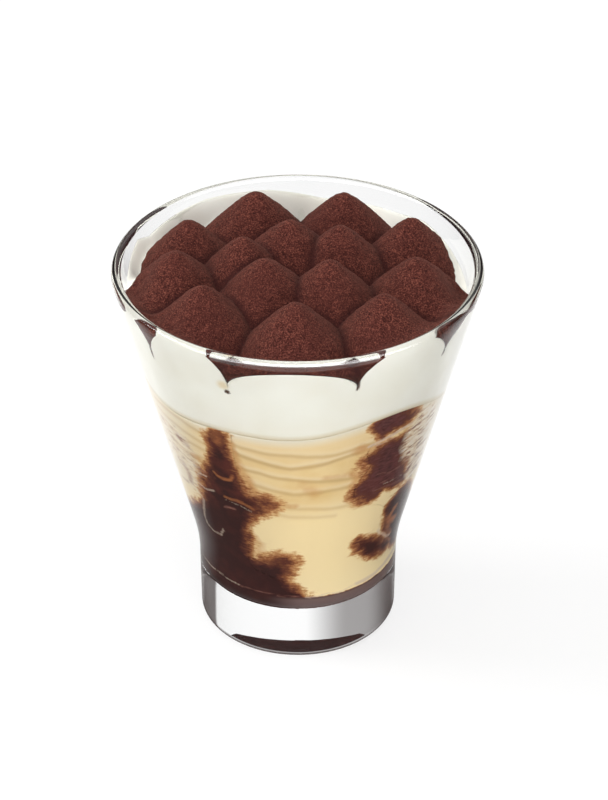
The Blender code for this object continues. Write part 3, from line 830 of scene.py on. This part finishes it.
def floor_material():
    """Pale floor with a glow that keeps its shadows faint. The glass mirrors it as dark: for mirrored
    rays the floor in front is painted dark, a painted reflection.
    """
    shader = Shader("pale_floor")
    path = shader.add("ShaderNodeLightPath").outputs
    depth = shader.add("ShaderNodeSeparateXYZ", {0: shader.place}).outputs["Y"]
    # Painted reflection: for rays mirrored by the glass, the floor in front is dark
    card = shader.times(path["Is Glossy Ray"], shader.remap(depth, -5 * MM, 45 * MM, 1, 0))
    color = shader.mix(card, (0.86, 0.86, 0.86), (0.08, 0.065, 0.06))
    shader.set(Base_Color=color, Roughness=0.9, Specular_IOR_Level=0)
    glow = shader.add("ShaderNodeEmission", {"Color": (1, 1, 1, 1), "Strength": 1})
    share = shader.times(path["Is Camera Ray"], 0.65)
    shader.blend_surface(shader.math("MULTIPLY_ADD", path["Is Transmission Ray"], 0.9, share), glow)
    return shader.material


# Marbling at the wall

def smooth_outline(points_mm, per_side=6):
    """Points on the smooth closed curve through the given ones, as the frame's solids have."""
    points = np.array(points_mm)
    before, after, last = (np.roll(points, shift, axis=0) for shift in (1, -1, -2))
    curve = []
    for t in np.arange(per_side) / per_side:
        bend = 2 * points + (after - before) * t
        bend = bend + (2 * before - 5 * points + 4 * after - last) * t**2
        curve.append((bend + (3 * points - before - 3 * after + last) * t**3) / 2)
    return np.stack(curve, axis=1).reshape(-1, 2)


def from_segment(x, z, ax, az, bx, bz):
    """Distance of each point from a straight line between two places."""
    dx, dz = bx - ax, bz - az
    along = np.clip(((x - ax) * dx + (z - az) * dz) / (dx * dx + dz * dz), 0, 1)
    return np.hypot(x - ax - along * dx, z - az - along * dz)


def depth_in_outline(x, z, outline):
    """How far in mm each point is inside the outline, and less than 0 outside."""
    loop = smooth_outline(outline)
    nearest = np.inf
    inside = np.zeros(len(x), bool)
    for (ax, az), (bx, bz) in zip(loop, np.roll(loop, -1, axis=0)):
        nearest = np.minimum(nearest, from_segment(x, z, ax, az, bx, bz))
        crosses = (az > z) != (bz > z)
        inside ^= crosses & (x < ax + (z - az) / (bz - az or 1) * (bx - ax))
    return np.where(inside, nearest, -nearest)


def along_wall(turn, height, points):
    """Distance in mm, along the wall, from a line of (turn, height in mm)."""
    nearest = np.inf
    for (turn_a, height_a), (turn_b, height_b) in zip(points, points[1:]):
        scale = degree_length((height_a + height_b) / 2)
        away = from_segment(turn * scale, height, turn_a * scale, height_a, turn_b * scale, height_b)
        nearest = np.minimum(nearest, away)
    return nearest


def soaked_depth(x, turn, height, front):
    """Depth in mm inside the soaked patches. Behind, these are the solids' own."""
    behind = np.maximum(depth_in_outline(x, height, SPONGE_LEFT_OUTLINE),
                        depth_in_outline(x, height, SPONGE_RIGHT_OUTLINE))
    shown = []
    for patch in SOAKED_PATCHES:
        scale = degree_length(sum(point[1] for point in patch) / len(patch))
        outline = [(point[0] * scale, point[1]) for point in patch]
        shown.append(depth_in_outline(turn * scale, height, outline))
    return np.max(shown, axis=0) * front + behind * (1 - front)


def fringe_width(turn, height, degree):
    """Width in mm of the haze at the edge of the soaked patches."""
    fringe = FRINGE
    for spot_turn, spot_height, radius, extra in HAZE:
        away = np.hypot((turn - spot_turn) * degree, height - spot_height) / radius
        fringe = np.maximum(fringe, FRINGE + extra * np.exp(-away**2))
    return FLOOR_FRINGE + (fringe - FLOOR_FRINGE) * smoothstep(*FRINGE_FADE, height)


def flecked(turn, height, degree):
    """Strength of the flecks, full in the middle of each flecked place."""
    flecks = 0
    for spot_turn, spot_height, wide, tall, strength in FLECKS:
        away = np.hypot((turn - spot_turn) * degree / wide, (height - spot_height) / tall)
        flecks = np.maximum(flecks, strength * smoothstep(1, 0.55, away))
    return flecks


def drawn(turn, height, strokes):
    """Strength of the strongest stroke at each point, which fades away from its line."""
    mask = 0
    for width, strength, line in strokes:
        near = along_wall(turn, height, line) / width
        mask = np.maximum(mask, strength * np.exp(-near**2))
    return mask


def rows_behind(angle, height):
    """Even rows of ripples for the back, which the photo doesn't show."""
    # Dark lines of the ripples, partly syrup colour and partly painted shade
    level = height + ROW_WAVE * np.sin(2 * angle)
    away = ((level - ROWS_START) % ROW_STEP - ROW_STEP / 2) / ROW_WIDTH
    return ROW_STRENGTH * np.exp(-away**2) * (level > ROWS_BOTTOM)


def paint_wall(obj):
    """Masks for the marbling, worked out at every vertex."""
    place = vertex_places(obj.data)
    angle = np.arctan2(place[:, 1], place[:, 0])
    turn = turn_after(angle, -270)
    height = place[:, 2] / MM
    sway, lift = (noise(place, WARP_SIZE, seed) for seed in WARP_SEEDS)
    degree = degree_length(height)
    warped = (turn + TURN_WARP * sway / degree, height + HEIGHT_WARP * lift)
    front = smoothstep(0.15, -0.15, np.sin(angle))

    def zone(turns, heights):
        return smoothstep(*turns, turn) * smoothstep(*heights, height)

    def ripple(width, rise):
        lines = [(width, strength, line) for strength, line in RIPPLES]
        return drawn(turn, height + RIPPLE_WARP * sway - rise, lines)

    depth = soaked_depth(place[:, 0] / MM + OUTLINE_WARP * sway, *warped, front)
    rows = rows_behind(angle, height + ROW_WARP * sway)
    left, right = zone(*PALE_LEFT), zone(*PALE_RIGHT)
    # Painted reflection: a pale haze at both sides of the front
    reflection_veil = np.maximum(REFLECTION_VEIL_RIGHT * right * smoothstep(*REFLECTION_VEIL_TOP, height), REFLECTION_VEIL_LEFT * left)
    set_attributes(obj, {
        "sponge_depth": np.maximum(depth, (FLOOR_LAYER_TOP - height) * FLOOR_LAYER_EDGE),
        "fringe": fringe_width(turn, height, degree),
        "under_line": (interface_height(angle) - place[:, 2]) / MM,
        "pale": drawn(*warped, PALE_STROKES),
        "amber": drawn(*warped, AMBER_STROKES),
        "pink": drawn(*warped, PINK_STROKES),
        # Ripples: dark lines, partly syrup colour and partly painted shade, and a painted highlight line
        # above them
        "ripple": ripple(RIPPLE_WIDTH, 0) + rows * (1 - front),
        "ripple_highlight": ripple(RIPPLE_HIGHLIGHT_WIDTH, RIPPLE_HIGHLIGHT_RISE),
        "paleness": np.maximum(left, right) * front,
        "reflection_veil": reflection_veil * front,
        "flecks": flecked(turn, height, degree) * front,
        "maroon": zone(*MAROON_ZONE) * front,
        "floor_band": zone(*FLOOR_BAND) * front,
    })


# Pieces

def arc_rows(centre_radius, centre_height, radius, start, end):
    """Rows of a profile along an arc between two angles in degrees."""
    angles = np.radians(np.linspace(start, end, ARC_STEPS + 1))
    return [(centre_radius + radius * math.cos(angle), centre_height + radius * math.sin(angle))
            for angle in angles]


def wall_rows(heights, inset):
    """Rows of a profile along the wall, between the first and the last height."""
    return [(float(outer_radius(height)) - inset, height) for height in heights[1:-1]]


def build_glass():
    lip = WALL / 2
    lip_height = GLASS_HEIGHT - lip
    flat = FOOT_RADIUS - FOOT_CORNER
    floor = float(outer_radius(FLOOR_BEND)) - WALL - FLOOR_FILLET
    profile = [(flat * share, 0) for share in np.linspace(0.25, 1, 4)[:-1]]
    profile += arc_rows(flat, FOOT_CORNER, FOOT_CORNER, -90, 0)
    profile += wall_rows(np.linspace(FOOT_CORNER, lip_height, 42), 0)
    profile += arc_rows(RIM_RADIUS - lip, lip_height, lip, 0, 180)
    profile += wall_rows(np.linspace(lip_height, FLOOR_BEND, 36), WALL)
    profile += arc_rows(floor, FLOOR_BEND, FLOOR_FILLET, 0, -90)
    profile += [(floor * share, BASE_THICKNESS) for share in np.linspace(1, 0.25, 4)[1:]]
    verts, faces = closed_skin(profile, GLASS_SEGMENTS, 0, BASE_THICKNESS)
    new_piece("dessert_glass", verts, faces, glass_material(), "glass")


def filled_rows(low, high, count):
    """Rows of a profile on the inside of the glass, from above low up to high."""
    heights = [low + (high - low) * row / count for row in range(1, count + 1)]
    return [(filled_radius(height), height) for height in heights]


def interface_rows(line):
    """Rows of the surface between custard and cream, from the middle outward."""
    rows = []
    for share in np.linspace(0.1, 1, 10):
        height = INTERFACE_HEIGHT + (line - INTERFACE_HEIGHT) * share**2
        rows.append((filled_radius(height) * share, height))
    return rows


def build_custard():
    floor = BASE_THICKNESS - REACH
    fillet = FLOOR_BEND - floor
    flat = float(filled_radius(FLOOR_BEND)) - fillet
    line = interface_height(ring_angles(CUSTARD_SEGMENTS))
    profile = [(flat * share, floor) for share in np.linspace(0.1, 1, 8)[:-1]]
    profile += arc_rows(flat, FLOOR_BEND, fillet, -90, 0)
    profile += filled_rows(FLOOR_BEND, line, 120)
    profile += interface_rows(line)[-2::-1]
    verts, faces = closed_skin(profile, CUSTARD_SEGMENTS, floor, INTERFACE_HEIGHT)
    paint_wall(new_piece("custard_filling", verts, faces, custard_material(), "custard"))


def dust_and_reflection_mask(place, angle):
    """1 where cocoa dusting lies on the glass at the sides, which also stands as a painted dark
    reflection in the rim's sides.
    """
    dust_and_dark_reflection = 0
    for cusps, tops, bottom in DUST_AND_REFLECTION_ARCS:
        first = (cusps[0] + cusps[1]) / 2
        last = (cusps[-2] + cusps[-1]) / 2
        within = (np.degrees(angle) - first) % 360 < last - first
        over = place[:, 2] - arcs(angle, cusps, tops, bottom * MM)
        over += unevenness(place, DUST_AND_REFLECTION_LUMPS)
        dust_and_dark_reflection = np.maximum(dust_and_dark_reflection, smoothstep(-DUST_AND_REFLECTION_EDGE, DUST_AND_REFLECTION_EDGE, over) * within)
    return dust_and_dark_reflection * (np.hypot(place[:, 0], place[:, 1]) > filled_radius(place[:, 2]) - 0.05 * MM)


def build_cream():
    angle = ring_angles(CREAM_SEGMENTS)
    line = interface_height(angle)
    edge = cream_edge(angle)
    rim = filled_radius(edge)
    profile = interface_rows(line) + filled_rows(line, edge, 43)
    for step in range(1, 40):
        radius = rim * (1 - (step / 40) ** 1.6)
        profile.append((radius, cream_top(angle, radius, edge)))
    centre = float(mound_field(np.zeros(1), np.zeros(1))[0]) - COCOA_THICKNESS
    verts, faces = closed_skin(profile, CREAM_SEGMENTS, INTERFACE_HEIGHT, centre)
    obj = new_piece("mascarpone_layer", verts, faces, cream_material(),
                    "mascarpone_cream")
    angle = np.arctan2(verts[:, 1], verts[:, 0])
    turn = turn_after(angle, -270)
    set_attributes(obj, {
        "over_line": (verts[:, 2] - interface_height(angle)) / MM,
        "stem": np.min([along_wall(turn, verts[:, 2] / MM, line) for line in STEMS], axis=0),
        # Cocoa dusting at the sides, also a painted dark reflection
        "dust_and_dark_reflection": dust_and_reflection_mask(verts, angle),
    })


def disk_grid(cells):
    """Even grid over the unit disk, with (cells + 1) points a side."""
    side = np.linspace(-1, 1, cells + 1)
    a, b = (grid.ravel() for grid in np.meshgrid(side, side))
    wide = np.abs(a) > np.abs(b)
    radius, other = np.where(wide, (a, b), (b, a))
    angle = np.pi / 4 * other / np.where(radius == 0, 1, radius)
    angle = np.where(wide, angle, np.pi / 2 - angle)
    return radius * np.cos(angle), radius * np.sin(angle)


def grid_indices(cells, first):
    return first + np.arange((cells + 1) ** 2).reshape(cells + 1, cells + 1)


def grid_faces(index):
    corners = (index[:-1, :-1], index[:-1, 1:], index[1:, 1:], index[1:, :-1])
    return np.stack(corners, axis=-1).reshape(-1, 4)


def grid_border(index):
    """Indices of the points round a grid, in order."""
    sides = (index[0, :-1], index[:-1, -1], index[-1, :0:-1], index[:0:-1, 0])
    return np.concatenate(sides).tolist()


def crease_shade_share(x, y):
    """Share of painted shade: 1 in the creases between the mounds and 0 on them."""
    heights = np.sort(mound_heights(x, y), axis=0)
    return 1 - smoothstep(0, CREASE_SHADE_WIDTH, heights[-1] - heights[-2])


def inside_glass(x, y, z, back):
    """Points, moved toward the middle where they would come through the cream at the back."""
    limit = filled_radius(z) - COCOA_INSET * back
    shrink = np.minimum(1, limit / np.maximum(np.hypot(x, y), MM))
    return np.stack([x * shrink, y * shrink, z], axis=1)


def cocoa_upper(cells):
    """Points of the side of the cocoa that shows."""
    ux, uy = disk_grid(cells)
    angle = np.arctan2(uy, ux)
    wall_top = cocoa_wall_top(angle, cream_edge(angle))
    back = collar(angle)
    rim = cocoa_rim(angle, wall_top)
    x, y = ux * rim, uy * rim
    inward = rim - np.hypot(x, y)
    z = piped_top(x, y, wall_top)
    place = np.stack([x, y, z], axis=1)
    rough = back + (1 - back) * smoothstep(0, SMOOTH_BAND, inward)
    rounding = ROUNDING_DEPTH * back * smoothstep(ROUNDING_WIDTH, 0, inward)
    z += (unevenness(place, COCOA_LUMPS) - LUMP_SINK) * rough - rounding
    return inside_glass(x, y, z, back)


def cocoa_lower(cells):
    """Points of the hidden side of the cocoa, in the cream."""
    ux, uy = disk_grid(cells)
    angle = np.arctan2(uy, ux)
    edge = cream_edge(angle)
    wall_top = cocoa_wall_top(angle, edge)
    back = collar(angle)
    low_edge = edge - HIDDEN_DROP
    rim = cocoa_rim(angle, wall_top) * back + (filled_radius(low_edge) - HIDDEN_GAP) * (1 - back)
    x, y = ux * rim, uy * rim
    z = piped_top(x, y, wall_top) - COCOA_THICKNESS - HIDDEN_GAP
    border = np.hypot(ux, uy) > 0.999
    z = np.where(border, z * back + low_edge * (1 - back), z)
    return inside_glass(x, y, z, back)


def build_cocoa():
    half = COCOA_CELLS // 2
    top = cocoa_upper(COCOA_CELLS)
    verts = np.concatenate([top, cocoa_lower(half)])
    upper = grid_indices(COCOA_CELLS, 0)
    lower = grid_indices(half, len(top))
    faces = grid_faces(upper).tolist() + grid_faces(lower)[:, ::-1].tolist()
    high, low = grid_border(upper), grid_border(lower)
    for i in range(-1, len(low) - 1):
        before, middle, after = high[2 * i], high[2 * i + 1], high[2 * i + 2]
        faces += [(low[i], middle, before), (low[i], low[i + 1], middle), (low[i + 1], after, middle)]
    obj = new_piece("cocoa_mounds", verts, faces, cocoa_material(), "cocoa_topping")
    # Painted shade in the creases between the mounds, kept at each vertex
    set_attributes(obj, {"painted_crease_shade": crease_shade_share(verts[:, 0], verts[:, 1])})


def build_sponge(node, material):
    """Sponge in the form of its solid, finely divided and pressed on the glass."""
    obj = add_object(node + "_soaked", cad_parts[node].data.copy())
    obj.data.name = obj.name
    obj.data.remesh_voxel_size = SPONGE_VOXEL
    with bpy.context.temp_override(object=obj, active_object=obj):
        bpy.ops.object.voxel_remesh()
    place = vertex_places(obj.data)
    radius = np.hypot(place[:, 0], place[:, 1])
    height = place[:, 2]
    wall = outer_radius(np.maximum(height, BASE_THICKNESS)) - WALL
    pressed = smoothstep(*WALL_GAPS, wall - radius) * (height > FLOOR_BEND - 0.2 * MM)
    scale = 1 + ((wall + SPONGE_REACH) / np.maximum(radius, 1e-6) - 1) * pressed
    on_floor = height < BASE_THICKNESS + FLOOR_GAP
    place[:, :2] *= scale[:, None]
    place[on_floor, 2] = BASE_THICKNESS - SPONGE_REACH
    obj.data.vertices.foreach_set("co", place.ravel())
    obj.data.update()
    obj.data.materials.clear()
    dress(obj, material, node)
    paint_wall(obj)


# Stage

def aim(obj, target):
    direction = Vector(target) - obj.location
    obj.rotation_euler = direction.to_track_quat("-Z", "Y").to_euler()


def add_softbox(name, place, size, power):
    light = bpy.data.lights.new(name, "AREA")
    light.shape = "RECTANGLE"
    light.size, light.size_y = size
    light.energy = power
    obj = add_object(name, light)
    obj.location = place
    aim(obj, LIT_PLACE)
    return obj


def build_world():
    """Studio surroundings, white to the camera and even for what they light.

    The glass bends and mirrors them as dark near the horizon and at both ends, pale above and
    brightest behind on the right. It also mirrors a bright card in front.
    """
    world = bpy.data.worlds.new("studio")
    bpy.context.scene.world = world
    world.use_nodes = True
    nodes = Nodes(world.node_tree)
    toward = nodes.add("ShaderNodeTexCoord").outputs["Generated"]
    side, depth, up = nodes.add("ShaderNodeSeparateXYZ", {0: toward}).outputs
    ray = nodes.add("ShaderNodeLightPath").outputs

    def fade(value, low, high, level=1):
        return nodes.remap(value, low, high, 0, level, "SMOOTHSTEP")

    sky = fade(up, 0.15, 0.7, 0.62)
    behind = nodes.times(fade(depth, 0, 0.35), fade(up, 0.53, 0.58))
    right = nodes.math("SUBTRACT", fade(side, -0.36, 0.06, 0.8), 0.22)
    pale = nodes.math("ADD", sky, nodes.times(behind, right))
    ends = nodes.math("ADD", fade(side, 0.64, 0.68), fade(side, -0.5, -0.84))
    ends = nodes.times(ends, fade(depth, 0, 0.15))
    pale = nodes.times(pale, nodes.math("SUBTRACT", 1, nodes.times(ends, 0.85)))
    card = nodes.times(fade(up, 0.16, 0.26), fade(up, 0.93, 0.8))
    card = nodes.times(fade(depth, -0.1, -0.5), card)
    mirrored = nodes.times(ray["Is Singular Ray"], ray["Is Reflection Ray"])
    through = nodes.mix(pale, (0.05, 0.028, 0.025), (1.08, 1.08, 1.08))
    through = nodes.mix(nodes.times(card, mirrored), through, (9, 9, 9))
    color = nodes.mix(ray["Is Glossy Ray"], (0.85, 0.85, 0.85), through)
    color = nodes.mix(ray["Is Camera Ray"], color, (1, 1, 1))
    nodes.put(world.node_tree.nodes["Background"].inputs["Color"], color)


def build_stage():
    bpy.ops.mesh.primitive_plane_add(size=12, location=(0, 0, -0.15 * MM))
    floor = bpy.context.object
    floor.name = "studio_floor"
    floor.data.materials.append(floor_material())

    build_world()
    key = add_softbox("key_softbox", place=(-0.8, 0.1, 0.85), size=(0.5, 0.5), power=6.5)
    key.visible_transmission = False
    add_softbox("front_softbox", place=(0.02, -1.1, 0.35), size=(1, 0.5), power=4.9)
    add_softbox("top_softbox", place=(0.15, -0.55, 0.95), size=(0.5, 0.5), power=2.6)


def build_camera():
    camera = bpy.data.cameras.new("camera")
    camera.lens = CAMERA_LENS
    camera.clip_start = 0.01
    obj = add_object("camera", camera)
    obj.location = CAMERA_PLACE
    aim(obj, CAMERA_AIM)
    bpy.context.scene.camera = obj


def main():
    bpy.context.scene.view_settings.view_transform = "Standard"
    build_camera()
    build_stage()
    build_glass()
    build_custard()
    build_cream()
    build_cocoa()
    sponge = sponge_material()
    for node in ("sponge_left", "sponge_right", "sponge_right_top"):
        build_sponge(node, sponge)


main()
